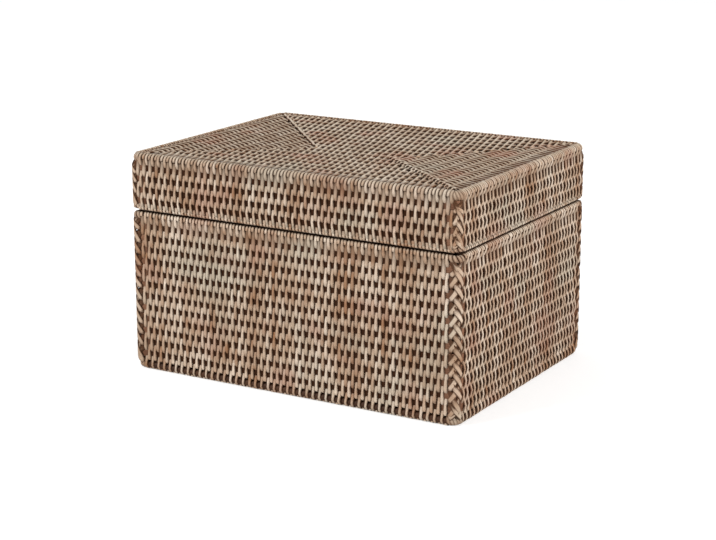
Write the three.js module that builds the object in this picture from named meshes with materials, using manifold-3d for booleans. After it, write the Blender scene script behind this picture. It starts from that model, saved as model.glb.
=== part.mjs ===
// Woven rattan box with a lift-off lid, in millimetres, +Z up.
// The origin is the middle of the underside; the front faces -Y and the length runs along X.
// Flat slats bent into rings carry a close weave of split cane strips, which is modelled as one
// ribbed field per face, threaded by the slats. A crossed lacing binds them to a post at each corner.

import * as THREE from 'three';
import { mergeVertices } from 'three/addons/utils/BufferGeometryUtils.js';
import Module from 'manifold-3d';

const wasm = await Module();
wasm.setup();

// Outside of the box
const boxLength = 300;
const boxDepth = 226;
const baseHeight = 133.6;
const lidHeight = 47.2;
const seatGap = 0.4;
const clearance = 0.25;

// Weave: strips over and under slats
const stripPitch = 3;
const stripThickness = 1.6;
const wallRelief = 0.45;
const topRelief = 1.1;
const floorRelief = 1.6;
const slatHeight = 6.2;
const slatThickness = 2.2;
const slatEdge = 0.6;
const baseSlatCount = 12;
const lidSlatCount = 4;
const lidSlatMargin = 0.3;
const slatBend = 1.9;

// Round canes that the strips wrap at the rims, the foot and the top edge
const rimCane = 5.2;
const footCane = 7.6;
const edgeCane = 8;
const caneFlat = 0.3;
const rimBend = 2.9;
const footBend = 4.4;

// Corner posts and their lacing, which goes up each corner and back down over itself
const cornerPost = 3;
const lacingWidth = 2.4;
const lacingThickness = 0.4;
const lacingGap = 0.5;

// Lid top: mitred at the hips, which hold a cane each
const hipCane = 2.4;
const topRecess = 0.4;

// Lip inside the base rim, which keeps the lid in place
const lipThickness = 3;
const lipRise = 9;
const lipDrop = 24;
const lipLead = 1.2;

// Facets
const bendSteps = 2;
const slatBendSteps = 2;
const caneSteps = 2;
const postSides = 8;
const weldTolerance = 1e-4;

// Places that follow from the sizes; an offset is measured inwards from the outer face
const wallThickness = slatThickness + 2 * stripThickness;
const slatOffset = wallThickness / 2;
const slatInner = slatOffset + slatThickness / 2;
const boxHeight = baseHeight + seatGap + lidHeight;
const lidBottom = baseHeight + seatGap;
const bendCentre = slatOffset + slatBend;
const bendRoom = (slatBend - slatThickness / 2) * Math.cos(Math.PI / 4 / slatBendSteps) - clearance;
const postOffset = Math.max(
  slatInner + clearance + cornerPost / 2,
  bendCentre - (bendRoom - cornerPost / 2) * Math.SQRT1_2,
);
const lacingStep = lacingThickness + lacingGap;
const lacingTurn = postOffset + cornerPost / 2 + clearance + lacingThickness / 2;
const lacingOuter = slatOffset - slatThickness / 2 - clearance - lacingThickness / 2;
const cornerBand = lacingTurn + lacingStep + lacingThickness / 2 + clearance;

const baseSpan = { low: footCane, high: baseHeight - rimCane };
const lidSpan = { low: lidBottom + rimCane, high: boxHeight - edgeCane };
const baseSlatGap = (baseSpan.high - baseSpan.low - baseSlatCount * slatHeight) / (baseSlatCount + 1);
const baseSlatPitch = baseSlatGap + slatHeight;
const lidSlatPitch = (lidSpan.high - lidSpan.low - 2 * lidSlatMargin - slatHeight) / (lidSlatCount - 1);
const baseSlatLevels = levels(baseSpan.low + baseSlatGap + slatHeight / 2, baseSlatPitch, baseSlatCount);
const lidSlatLevels = levels(lidSpan.low + lidSlatMargin + slatHeight / 2, lidSlatPitch, lidSlatCount);

// The four walls in turn; each is built at the front and turned about Z
const walls = [
  { name: 'front', turn: 0, span: boxLength, reach: boxDepth / 2 },
  { name: 'right', turn: Math.PI / 2, span: boxDepth, reach: boxLength / 2 },
  { name: 'rear', turn: Math.PI, span: boxLength, reach: boxDepth / 2 },
  { name: 'left', turn: -Math.PI / 2, span: boxDepth, reach: boxLength / 2 },
];

// The four corners in turn; each is built with X and Y running inwards from it
const corners = [
  { name: 'front_left', turn: 0, x: -boxLength / 2, y: -boxDepth / 2 },
  { name: 'front_right', turn: Math.PI / 2, x: boxLength / 2, y: -boxDepth / 2 },
  { name: 'rear_right', turn: Math.PI, x: boxLength / 2, y: boxDepth / 2 },
  { name: 'rear_left', turn: -Math.PI / 2, x: -boxLength / 2, y: boxDepth / 2 },
];

const finishes = {
  strip: { color: 0xa98f77, roughness: 0.72, metalness: 0 },
  slat: { color: 0x7b5a44, roughness: 0.68, metalness: 0 },
  cane: { color: 0x93755c, roughness: 0.7, metalness: 0 },
  lacing: { color: 0x9c7d63, roughness: 0.7, metalness: 0 },
  lip: { color: 0x8a6b52, roughness: 0.75, metalness: 0 },
};

function levels(first, pitch, count) {
  return Array.from({ length: count }, (_, i) => first + i * pitch);
}

function piece(name, geometry, finish, place = {}) {
  const mesh = new THREE.Mesh(geometry, new THREE.MeshStandardMaterial(finishes[finish]));
  mesh.name = name;
  mesh.position.set(place.x ?? 0, place.y ?? 0, 0);
  mesh.rotation.z = place.turn ?? 0;
  return mesh;
}

function toSolid(geometry) {
  const bare = geometry.clone();
  bare.deleteAttribute('normal');
  bare.deleteAttribute('uv');
  const welded = mergeVertices(bare, weldTolerance);
  return new wasm.Manifold(new wasm.Mesh({
    numProp: 3,
    vertProperties: Float32Array.from(welded.attributes.position.array),
    triVerts: Uint32Array.from(welded.index.array),
  }));
}

function toGeometry(solid) {
  const mesh = solid.getMesh();
  const geometry = new THREE.BufferGeometry();
  geometry.setAttribute('position', new THREE.BufferAttribute(mesh.vertProperties, 3));
  geometry.setIndex(new THREE.BufferAttribute(mesh.triVerts, 1));
  return geometry;
}

function prism(points, depth) {
  return new THREE.ExtrudeGeometry(new THREE.Shape(points), { depth, bevelEnabled: false });
}

// Outline of the box drawn in by an offset, with round corners
function boxOutline(offset, radius, steps) {
  const halfX = boxLength / 2 - offset - radius;
  const halfY = boxDepth / 2 - offset - radius;
  const points = [];
  for (let quarter = 0; quarter < 4; quarter += 1) {
    const signX = quarter === 0 || quarter === 3 ? 1 : -1;
    const signY = quarter < 2 ? 1 : -1;
    for (let step = 0; step <= steps; step += 1) {
      const angle = (quarter + step / steps) * Math.PI / 2;
      points.push(new THREE.Vector2(
        signX * halfX + radius * Math.cos(angle),
        signY * halfY + radius * Math.sin(angle),
      ));
    }
  }
  return points;
}

// Closed ring round the box: a section of width by height whose edges are eased by edge and rise
function ring({ offset, width, height, edge, rise, bend, edgeSteps, steps, bottom }) {
  const half = width / 2 - edge;
  const shape = new THREE.Shape(boxOutline(offset - half, bend + half, steps));
  shape.holes.push(new THREE.Path(boxOutline(offset + half, bend - half, steps)));
  const geometry = new THREE.ExtrudeGeometry(shape, {
    depth: height - 2 * rise,
    bevelEnabled: true,
    bevelSize: edge,
    bevelThickness: rise,
    bevelSegments: edgeSteps,
  });
  return geometry.translate(0, 0, bottom + rise);
}

function slatRing(level) {
  return ring({
    offset: slatOffset,
    width: slatThickness,
    height: slatHeight,
    edge: slatEdge,
    rise: slatEdge,
    bend: slatBend,
    edgeSteps: 1,
    steps: slatBendSteps,
    bottom: level - slatHeight / 2,
  });
}

function caneRing(diameter, bend, bottom) {
  const rounding = diameter * (1 - caneFlat) / 2;
  return ring({
    offset: diameter / 2,
    width: diameter,
    height: diameter,
    edge: rounding,
    rise: rounding,
    bend,
    edgeSteps: caneSteps,
    steps: bendSteps,
    bottom,
  });
}

// Side-by-side strips as one ribbed field: crests at y = 0, grooves of that relief between them,
// and the back at the wall's thickness
function stripField(room, length, relief) {
  const count = Math.floor(room / stripPitch + weldTolerance);
  const half = count * stripPitch / 2;
  const points = [new THREE.Vector2(-half, wallThickness), new THREE.Vector2(half, wallThickness)];
  for (let i = count; i > 0; i -= 1) {
    const edge = -half + i * stripPitch;
    points.push(new THREE.Vector2(edge, relief));
    points.push(new THREE.Vector2(edge - stripPitch / 2, 0));
  }
  points.push(new THREE.Vector2(-half, relief));
  return prism(points, length);
}

// One wall of strips, standing between two canes, with a channel for every slat
function wallField(wall, span, slatLevels) {
  const low = span.low + clearance;
  const field = stripField(wall.span - 2 * cornerBand, span.high - clearance - low, wallRelief);
  let solid = toSolid(field.translate(0, -wall.reach, low));
  for (const level of slatLevels) {
    const channel = new THREE.BoxGeometry(
      wall.span,
      slatThickness + 2 * clearance,
      slatHeight + 2 * clearance,
    );
    solid = solid.subtract(toSolid(channel.translate(0, slatOffset - wall.reach, level)));
  }
  return toGeometry(solid);
}

function post(span) {
  const height = span.high - span.low - 2 * clearance;
  const geometry = new THREE.CylinderGeometry(cornerPost / 2, cornerPost / 2, height, postSides);
  geometry.rotateX(Math.PI / 2);
  return geometry.translate(postOffset, postOffset, span.low + clearance + height / 2);
}

// Plan of the lacing outside one corner, from face to face, and how far along it each point is
function cornerRun(turn, outer) {
  const radius = bendCentre - outer;
  const points = [new THREE.Vector2(turn, outer)];
  for (let step = 0; step <= slatBendSteps; step += 1) {
    const angle = -Math.PI / 2 * (1 + step / slatBendSteps);
    points.push(new THREE.Vector2(
      bendCentre + radius * Math.cos(angle),
      bendCentre + radius * Math.sin(angle),
    ));
  }
  points.push(new THREE.Vector2(outer, turn));
  const gone = [0];
  for (let i = 1; i < points.length; i += 1) {
    gone.push(gone[i - 1] + points[i].distanceTo(points[i - 1]));
  }
  return points.map((point, i) => ({ point, share: gone[i] / gone.at(-1) }));
}

// Course of the lacing: up the corner, over each slat outside and level round the post through
// the next gap, then back down over its own turns, so that it crosses itself on every slat
function lacingCourse(gapLevels) {
  const course = [];
  [gapLevels, [...gapLevels].reverse()].forEach((passLevels, pass) => {
    const turn = lacingTurn + pass * lacingStep;
    const outside = cornerRun(turn, lacingOuter - pass * lacingStep);
    course.push(new THREE.Vector3(turn, turn, passLevels[0]));
    for (let gap = 1; gap < passLevels.length; gap += 1) {
      for (const { point, share } of outside) {
        const level = THREE.MathUtils.lerp(passLevels[gap - 1], passLevels[gap], share);
        course.push(new THREE.Vector3(point.x, point.y, level));
      }
      course.push(new THREE.Vector3(turn, turn, passLevels[gap]));
    }
  });
  return course;
}

// Flat strip along a course, its width upright and its thickness mitred at every bend
function lacing(gapLevels) {
  const course = lacingCourse(gapLevels);
  const positions = [];
  course.forEach((point, i) => {
    const before = flatDirection(course[Math.max(i - 1, 0)], course[Math.max(i, 1)]);
    const after = flatDirection(
      course[Math.min(i, course.length - 2)],
      course[Math.min(i + 1, course.length - 1)],
    );
    const along = before.clone().add(after).normalize();
    const reach = lacingThickness / 2 / along.dot(after);
    for (const [side, rise] of [[1, -1], [-1, -1], [-1, 1], [1, 1]]) {
      positions.push(
        point.x - side * reach * along.y,
        point.y + side * reach * along.x,
        point.z + rise * lacingWidth / 2,
      );
    }
  });
  const faces = [0, 1, 2, 0, 2, 3];
  for (let i = 0; i < course.length - 1; i += 1) {
    for (let side = 0; side < 4; side += 1) {
      const a = 4 * i + side;
      const b = 4 * i + (side + 1) % 4;
      faces.push(a, a + 4, b + 4, a, b + 4, b);
    }
  }
  const last = 4 * (course.length - 1);
  faces.push(last, last + 2, last + 1, last, last + 3, last + 2);
  const geometry = new THREE.BufferGeometry();
  geometry.setAttribute('position', new THREE.Float32BufferAttribute(positions, 3));
  geometry.setIndex(faces);
  return geometry;
}

// Least room between the lacing's turns, taken between points that are not neighbours
function lacingRoom(gapLevels) {
  const course = lacingCourse(gapLevels);
  const apart = 3;
  let least = Infinity;
  for (let i = 0; i < course.length; i += 1) {
    for (let j = i + apart; j < course.length; j += 1) {
      const beside = Math.hypot(course[i].x - course[j].x, course[i].y - course[j].y) - lacingThickness;
      const above = Math.abs(course[i].z - course[j].z) - lacingWidth;
      least = Math.min(least, Math.max(beside, above));
    }
  }
  return least;
}

function flatDirection(from, to) {
  return new THREE.Vector2(to.x - from.x, to.y - from.y).normalize();
}

function base() {
  const group = new THREE.Group();
  group.add(piece('base_foot_cane', caneRing(footCane, footBend, 0), 'cane'));
  group.add(piece('base_rim_cane', caneRing(rimCane, rimBend, baseHeight - rimCane), 'cane'));
  group.add(piece('base_floor_weave', floorField(), 'strip'));
  baseSlatLevels.forEach((level, i) => {
    group.add(piece(`base_slat_${String(i + 1).padStart(2, '0')}`, slatRing(level), 'slat'));
  });
  const gaps = levels(baseSlatLevels[0] - baseSlatPitch / 2, baseSlatPitch, baseSlatCount + 1);
  console.log(`The base lacing clears itself by ${lacingRoom(gaps).toFixed(2)} mm`);
  for (const corner of corners) {
    group.add(piece(`base_post_${corner.name}`, post(baseSpan), 'cane', corner));
    group.add(piece(`base_lacing_${corner.name}`, lacing(gaps), 'lacing', corner));
  }
  for (const wall of walls) {
    const field = wallField(wall, baseSpan, baseSlatLevels);
    group.add(piece(`base_${wall.name}_weave`, field, 'strip', { turn: wall.turn }));
    group.add(piece(`lip_${wall.name}`, lip(wall), 'lip', { turn: wall.turn }));
  }
  return group;
}

// Floor: strips from front to rear, crests downwards, set inside the foot cane at its mid height
function floorField() {
  const offset = footCane + clearance;
  const level = (footCane - wallThickness) / 2;
  const length = boxDepth - 2 * offset;
  const field = stripField(boxLength - 2 * offset + stripPitch, length, floorRelief);
  field.rotateX(Math.PI / 2);
  field.translate(0, length / 2, level);
  const outline = boxOutline(offset, footBend - footCane / 2, bendSteps);
  const cutter = prism(outline, wallThickness + 2 * clearance).translate(0, 0, level - clearance);
  return toGeometry(toSolid(field).intersect(toSolid(cutter)));
}

// Upright slat behind one wall, rising past the rim, with an eased lead for the lid
function lip(wall) {
  const outer = -wall.reach + wallThickness + clearance;
  const top = baseHeight + lipRise;
  const section = [
    [outer, baseHeight - lipDrop],
    [outer + lipThickness, baseHeight - lipDrop],
    [outer + lipThickness, top],
    [outer + lipLead, top],
    [outer, top - lipLead],
  ];
  const length = wall.span - 2 * cornerBand;
  const geometry = prism(section.map(([y, z]) => new THREE.Vector2(y, z)), length);
  geometry.rotateX(Math.PI / 2);
  geometry.rotateZ(Math.PI / 2);
  return geometry.translate(-length / 2, 0, 0);
}

function lid() {
  const group = new THREE.Group();
  group.add(piece('lid_rim_cane', caneRing(rimCane, rimBend, lidBottom), 'cane'));
  group.add(piece('lid_edge_cane', caneRing(edgeCane, footBend, boxHeight - edgeCane), 'cane'));
  lidSlatLevels.forEach((level, i) => {
    group.add(piece(`lid_slat_${String(i + 1).padStart(2, '0')}`, slatRing(level), 'slat'));
  });
  const gaps = levels(lidSlatLevels[0] + lidSlatPitch / 2, lidSlatPitch, lidSlatCount - 1);
  console.log(`The lid lacing clears itself by ${lacingRoom(gaps).toFixed(2)} mm`);
  for (const corner of corners) {
    group.add(piece(`lid_post_${corner.name}`, post(lidSpan), 'cane', corner));
    group.add(piece(`lid_lacing_${corner.name}`, lacing(gaps), 'lacing', corner));
    group.add(piece(`lid_hip_cane_${corner.name}`, hip(corner), 'cane'));
  }
  for (const wall of walls) {
    const field = wallField(wall, lidSpan, lidSlatLevels);
    group.add(piece(`lid_${wall.name}_weave`, field, 'strip', { turn: wall.turn }));
  }
  addTop(group);
  return group;
}

// Lid top: the middle field runs from front to rear, a triangle closes each end at the hips
const topHalfX = boxLength / 2 - edgeCane - clearance;
const topHalfY = boxDepth / 2 - edgeCane - clearance;
const ridgeHalf = topHalfX - topHalfY;
const topLevel = boxHeight - topRecess;

function addTop(group) {
  const hipShift = (hipCane / 2 + clearance) * Math.SQRT2;
  const side = topHalfX - hipShift;
  const waist = ridgeHalf - hipShift;
  const middle = [
    [-side, -topHalfY],
    [side, -topHalfY],
    [waist, 0],
    [side, topHalfY],
    [-side, topHalfY],
    [-waist, 0],
  ];
  const end = [
    [topHalfX, hipShift - topHalfY],
    [topHalfX, topHalfY - hipShift],
    [ridgeHalf + hipShift, 0],
  ];
  const otherEnd = end.map(([x, y]) => [-x, -y]);
  group.add(piece('lid_top_middle_weave', topField(middle, false), 'strip'));
  group.add(piece('lid_top_right_weave', topField(end, true), 'strip'));
  group.add(piece('lid_top_left_weave', topField(otherEnd, true), 'strip'));
}

// Strips lying flat, along X where crosswise and along Y otherwise, cut to an outline
function topField(outline, crosswise) {
  const room = 2 * (crosswise ? topHalfY : topHalfX);
  const length = 2 * (crosswise ? topHalfX : topHalfY);
  const field = stripField(room, length, topRelief);
  field.rotateX(-Math.PI / 2);
  field.translate(0, -length / 2, topLevel);
  if (crosswise) {
    field.rotateZ(Math.PI / 2);
  }
  const cutter = prism(outline.map(([x, y]) => new THREE.Vector2(x, y)), wallThickness + 2 * clearance);
  cutter.translate(0, 0, topLevel - wallThickness - clearance);
  return toGeometry(toSolid(field).intersect(toSolid(cutter)));
}

// Cane under one hip, from inside the bend of the edge cane to the end of the ridge
function hip(corner) {
  const inset = Math.max(edgeCane / 2 + footBend, edgeCane + clearance + hipCane / 2 * Math.SQRT1_2);
  const outerX = boxLength / 2 - inset;
  const outerY = boxDepth / 2 - inset;
  const start = (hipCane / 2 + clearance) * Math.SQRT1_2;
  const length = (outerY - start) * Math.SQRT2;
  const geometry = new THREE.BoxGeometry(length, hipCane, wallThickness);
  geometry.translate(-length / 2, 0, topLevel - wallThickness / 2);
  geometry.rotateZ(Math.atan2(Math.sign(corner.y), Math.sign(corner.x)));
  return geometry.translate(Math.sign(corner.x) * outerX, Math.sign(corner.y) * outerY, 0);
}

const box = new THREE.Group();
box.add(base(), lid());

export default box;
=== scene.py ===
import math

import bpy
import numpy as np
from mathutils import Matrix, Vector


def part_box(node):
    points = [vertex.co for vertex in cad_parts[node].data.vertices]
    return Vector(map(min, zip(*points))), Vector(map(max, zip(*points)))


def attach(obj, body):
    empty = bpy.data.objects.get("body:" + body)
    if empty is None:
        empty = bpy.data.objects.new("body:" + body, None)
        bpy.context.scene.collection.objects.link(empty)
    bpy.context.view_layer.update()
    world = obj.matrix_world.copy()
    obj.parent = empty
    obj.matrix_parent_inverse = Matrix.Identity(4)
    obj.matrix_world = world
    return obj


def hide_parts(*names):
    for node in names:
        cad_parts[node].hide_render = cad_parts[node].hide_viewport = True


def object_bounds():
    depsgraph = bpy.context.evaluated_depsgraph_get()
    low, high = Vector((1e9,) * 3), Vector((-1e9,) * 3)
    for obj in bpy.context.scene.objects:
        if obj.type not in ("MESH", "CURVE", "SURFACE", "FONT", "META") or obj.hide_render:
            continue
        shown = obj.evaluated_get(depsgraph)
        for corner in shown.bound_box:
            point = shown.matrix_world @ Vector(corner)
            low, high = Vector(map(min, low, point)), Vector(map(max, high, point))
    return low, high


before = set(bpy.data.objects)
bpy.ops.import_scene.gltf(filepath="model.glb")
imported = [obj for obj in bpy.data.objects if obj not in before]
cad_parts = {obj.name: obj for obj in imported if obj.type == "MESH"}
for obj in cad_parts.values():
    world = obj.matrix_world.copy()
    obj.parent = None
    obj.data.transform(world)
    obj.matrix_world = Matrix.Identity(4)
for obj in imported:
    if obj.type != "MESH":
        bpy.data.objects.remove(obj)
cad_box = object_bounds()

# The foot, the two rims and the lid's top edge are round canes, each bent into a ring.
# They are whole rattan, peeled and stained brown, and the strips wrap round them, so
# that only short lengths show between the strips.
MM = 0.001
cane_rings = {
    "base_foot_cane": ("base", 6.2, 4.4),
    "base_rim_cane": ("base", 2.8, 2.9),
    "lid_rim_cane": ("lid", 2.8, 2.9),
    "lid_edge_cane": ("lid", 6.2, 4.4),
}
cane_bend_steps = 8
cane_round_steps = 3
cane_weld = 1e-6
stain_stops = (0.36, 0.64)
blotch_scale = 30
streak_bump = {"Strength": 0.35, "Distance": 0.0004}
streak_dulls, streak_shines = 0.12, 0.1


def switch_to(mode):
    bpy.ops.object.mode_set(mode=mode)


def choose(*pieces):
    """These pieces are selected and no others, and the first of them is active."""
    if bpy.context.object and bpy.context.object.mode != "OBJECT":
        switch_to("OBJECT")
    bpy.ops.object.select_all(action="DESELECT")
    for piece in pieces:
        piece.select_set(True)
    if pieces:
        bpy.context.view_layer.objects.active = pieces[0]


def weld(distance):
    """The active piece becomes one skin: ends closed, faces outwards, shaded smooth."""
    switch_to("EDIT")
    bpy.ops.mesh.select_all(action="SELECT")
    bpy.ops.mesh.remove_doubles(threshold=distance)
    bpy.ops.mesh.normals_make_consistent(inside=False)
    switch_to("OBJECT")
    bpy.ops.object.shade_smooth()


def rounded_plan(name, low, high, bend, level):
    """A flat plate of that plan with its four corners bent round, open in edit mode."""
    choose()
    centre = (low + high) / 2
    bpy.ops.mesh.primitive_plane_add(size=1, location=(centre.x, centre.y, level))
    plate = bpy.context.object
    plate.name = name
    switch_to("EDIT")
    bpy.ops.transform.resize(value=(high.x - low.x, high.y - low.y, 1))
    bpy.ops.mesh.bevel(offset=bend, affect="VERTICES", segments=cane_bend_steps)
    return plate


def place_in_mesh(piece):
    """The piece's place goes into its mesh, and its object to the origin."""
    choose(piece)
    bpy.ops.object.transform_apply(location=True, rotation=True, scale=True)


def bent_cane(name, node_name, thickness, bend):
    """A ring of round cane, bent at the four corners."""
    low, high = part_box(node_name)
    reach = (high.z - low.z) / 2
    margin = Vector((reach, reach, 0))
    rounded_plan(name, low + margin, high - margin, bend * MM, (low.z + high.z) / 2)
    bpy.ops.mesh.delete(type="ONLY_FACE")
    switch_to("OBJECT")
    bpy.ops.object.convert(target="CURVE")
    cane = bpy.context.object
    cane.data.bevel_depth = thickness / 2 * MM
    cane.data.bevel_resolution = cane_round_steps
    bpy.ops.object.convert(target="MESH")
    cane = bpy.context.object
    weld(cane_weld)
    place_in_mesh(cane)
    return cane


def feed(tree, made, inputs):
    """Sets or links the inputs of a shader node."""
    for socket, value in inputs.items():
        if isinstance(value, bpy.types.NodeSocket):
            tree.links.new(value, made.inputs[socket])
        else:
            made.inputs[socket].default_value = value


def node(tree, kind, inputs=None, **settings):
    """A new shader node with its settings and its inputs."""
    made = tree.nodes.new("ShaderNode" + kind)
    for key, value in settings.items():
        setattr(made, key, value)
    feed(tree, made, inputs or {})
    return made


def blend(tree, factor, first, second, how="MIX"):
    """The two colours mixed by that factor."""
    inputs = {0: factor, 6: first, 7: second}
    return node(tree, "Mix", inputs, data_type="RGBA", blend_type=how).outputs[2]


def maths(tree, how, first, second):
    """The two values put together by that operation."""
    return node(tree, "Math", {0: first, 1: second}, operation=how).outputs[0]


def ranged(tree, value, low, high, to_low=0.0, to_high=1.0):
    """A value moved from one range to another."""
    ends = {"From Min": low, "From Max": high, "To Min": to_low, "To Max": to_high}
    return node(tree, "MapRange", {"Value": value, **ends}).outputs[0]


def noise(tree, place, scale, detail=2.0, roughness=0.5):
    inputs = {"Vector": place, "Scale": scale, "Detail": detail, "Roughness": roughness}
    return node(tree, "TexNoise", inputs).outputs["Fac"]


def rgb(red, green, blue):
    """A colour written as on a screen, 0 to 255, as the shader takes it."""
    parts = [c / 255 for c in (red, green, blue)]
    flat = [c / 12.92 if c <= 0.04045 else ((c + 0.055) / 1.055) ** 2.4 for c in parts]
    return (*flat, 1.0)


def new_material(name):
    material = bpy.data.materials.new(name)
    material.use_nodes = True
    tree = material.node_tree
    return material, tree, tree.nodes["Principled BSDF"]


def long_grain(tree, stretch, scale):
    """Noise drawn out along the grain, from the piece's own coordinates."""
    place = node(tree, "TexCoord").outputs["Object"]
    drawn = node(tree, "Mapping", {"Vector": place, "Scale": stretch}).outputs[0]
    return noise(tree, drawn, scale, detail=4.0, roughness=0.6)


def stained_cane(name, dark, light, stretch, scale, dullness, shine):
    """Brown cane: streaks along its length, darker in the streaks, a dull polish."""
    material, tree, shader = new_material(name)
    streaks = long_grain(tree, stretch, scale)
    blotches = long_grain(tree, (1, 1, 1), blotch_scale)
    both = maths(tree, "MULTIPLY", maths(tree, "ADD", streaks, blotches), 0.5)
    ramp = node(tree, "ValToRGB", {"Fac": both})
    for stop, place, colour in zip(ramp.color_ramp.elements, stain_stops, (dark, light)):
        stop.position = place
        stop.color = colour
    least, most = dullness - streak_shines, dullness + streak_dulls
    rough = ranged(tree, streaks, 0.0, 1.0, most, least)
    bump = node(tree, "Bump", {"Height": streaks, **streak_bump}).outputs[0]
    feed(tree, shader, {"Base Color": ramp.outputs[0], "Roughness": rough})
    feed(tree, shader, {"Normal": bump, "Specular IOR Level": shine})
    return material


round_cane_finish = stained_cane(
    "round_cane", rgb(44, 25, 14), rgb(80, 51, 32),
    stretch=(25, 25, 90), scale=14, dullness=0.6, shine=0.15,
)
for node_name, (body, thickness, bend) in cane_rings.items():
    cane = bent_cane(node_name + "_bare", node_name, thickness, bend)
    cane.data.materials.append(round_cane_finish)
    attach(cane, body)
    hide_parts(node_name)

# The slats are lengths of cane, each bent round the four corners into a ring. They are
# stained a red brown, lie one above the other, are pressed flat and tall at the corners,
# and hold the box's shape: the strips pass over and under them.
slat_thickness = 2.2
slat_outer_bend = 3.0
slat_edge, slat_edge_angle = 0.7, math.radians(60)
slat_corner_height = 8.4
slat_wall_height = 6.0
slat_flat_end = 10.0
slat_slim_start = 14.0
smooth_angle = math.radians(50)
shade_and_grime_roughness = 0.95
slat_counts = {"base": 12, "lid": 4}
slat_nodes = [
    (body, f"{body}_slat_{i:02d}")
    for body, count in slat_counts.items()
    for i in range(1, count + 1)
]


def modifier(piece, kind, **settings):
    """Adds a modifier to the piece and applies it."""
    choose(piece)
    bpy.ops.object.modifier_add(type=kind)
    made = piece.modifiers[-1]
    for key, value in settings.items():
        setattr(made, key, value)
    bpy.ops.object.modifier_apply(modifier=made.name)


def mark(piece, name, values):
    """Writes a number to each vertex of the piece, for its material or a later step."""
    made = piece.data.attributes.new(name, "FLOAT", "POINT")
    made.data.foreach_set("value", values)


def marked(tree, name, output="Fac"):
    """What is written to the vertices under that name, in a material."""
    return node(tree, "Attribute", attribute_name=name).outputs[output]


def bent_slat(node_name):
    """One ring, slim along the walls and tall at the corners, marked where strips cover it."""
    low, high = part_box(node_name)
    level = (low.z + high.z) / 2
    tall = slat_corner_height * MM
    slat = rounded_plan(
        node_name + "_bent", low, high, slat_outer_bend * MM, level - tall / 2
    )
    bpy.ops.mesh.inset(thickness=slat_thickness * MM)
    bpy.ops.mesh.delete(type="FACE")
    switch_to("OBJECT")
    modifier(slat, "SOLIDIFY", thickness=tall, offset=1)
    modifier(slat, "BEVEL", width=slat_edge * MM, segments=2, angle_limit=slat_edge_angle)
    place_in_mesh(slat)
    switch_to("EDIT")
    cuts = (slat_flat_end, (slat_flat_end + slat_slim_start) / 2, slat_slim_start)
    for axis in range(2):
        across = Vector([float(i == axis) for i in range(3)])
        for inward in cuts:
            for way in (-1, 1):
                place = across * way * (high[axis] - inward * MM)
                bpy.ops.mesh.select_all(action="SELECT")
                bpy.ops.mesh.bisect(plane_co=place, plane_no=across)
    switch_to("OBJECT")
    shares = []
    for corner in slat.data.vertices:
        along = max(high.x - abs(corner.co.x), high.y - abs(corner.co.y)) / MM
        share = (along - slat_flat_end) / (slat_slim_start - slat_flat_end)
        share = min(max(share, 0.0), 1.0)
        slim = 1 + (slat_wall_height / slat_corner_height - 1) * share
        corner.co.z = level + (corner.co.z - level) * slim
        shares.append(share)
    # The share marks where strips cover the slat. There its material paints it darker: painted
    # shade under the weave, with some dirt.
    mark(slat, "covered", shares)
    bpy.ops.object.shade_smooth_by_angle(angle=smooth_angle)
    return slat


def slat_levels(body):
    """The middles of a body's slats, in millimetres, from the lowest up."""
    boxes = [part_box(node_name) for owner, node_name in slat_nodes if owner == body]
    return [(low.z + high.z) / 2 / MM for low, high in boxes]


slat_finish = stained_cane(
    "stained_slat", rgb(78, 48, 32), rgb(146, 106, 82),
    stretch=(12, 12, 700), scale=3, dullness=0.55, shine=0.12,
)
tree = slat_finish.node_tree
shader = tree.nodes["Principled BSDF"]
# Under the weave the slat is painted almost black and made dull: painted shade, with some
# dirt.
weave_shade = marked(tree, "covered")
bare = shader.inputs["Base Color"].links[0].from_socket
shaded = blend(tree, weave_shade, bare, rgb(54, 30, 15))
polish = shader.inputs["Roughness"].links[0].from_socket
dull = maths(tree, "MULTIPLY", weave_shade, shade_and_grime_roughness)
rough = maths(tree, "MAXIMUM", polish, dull)
feed(tree, shader, {"Base Color": shaded, "Roughness": rough})
for body, node_name in slat_nodes:
    slat = bent_slat(node_name)
    slat.data.materials.append(slat_finish)
    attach(slat, body)
    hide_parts(node_name)

# The walls of the base are strips split from cane, flat inside and rounded outside. Each
# goes down over one slat and behind the next, and its neighbour does the opposite. All turn
# over the rim cane, and go round the foot cane in turn from outside and from inside.
strip_pitch = 3.0
strip_width = 3.25
strip_thickness = 1.7
strip_sides = 6
strip_squareness = 0.6
strip_seat = 0.4
strip_weld = 1e-5
strip_lean = 0.14
strip_swing = 0.2
over_depth = 0.7
under_depth = 4.4
dive_reach, dive_power = 2.0, 7
rise_reach, rise_power = 2.3, 4
dip_stations = (-5.2, -3.0, -2.4, -2.0, -1.5, 0, 1.6, 2.2, 2.8, 3.6, 5.0, 7.4)
float_places = (0.0, 0.13, 0.26, 0.4, 0.5, 0.62, 0.74, 0.88, 1.0)
float_widths = (1.22, 1.18, 1.0, 0.72, 0.74, 0.88, 1.04, 1.14, 1.22)
float_depths = (1.2, 1.2, 0.8, 0.12, -0.1, 0.05, 0.6, 1.1, 1.2)
run_margin = 0.5
groove_gain, groove_least = 1.7, 0.15
low_shade, turn_shade, tail_shade = 0.2, 0.6, 0.6
beats, beat_length = 40, 8.0
width_spread, sway_spread, lean_spread, proud_spread = 0.08, 0.2, 0.1, 0.2
length = (cad_box[1].x - cad_box[0].x) / MM
depth = (cad_box[1].y - cad_box[0].y) / MM
base_rows = slat_levels("base")
row_pitch = base_rows[1] - base_rows[0]
base_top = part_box("base_rim_cane")[1].z / MM
rim_centre = 2.6
rim_turn, rim_arc = 2.0, (0, 165, 9)
rim_flat = 0.4
rim_round = 1.25
rim_drop = 3.85
rim_sway = 1.6
rim_unshaded, rim_shade_run = 1.3, 2.6
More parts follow.
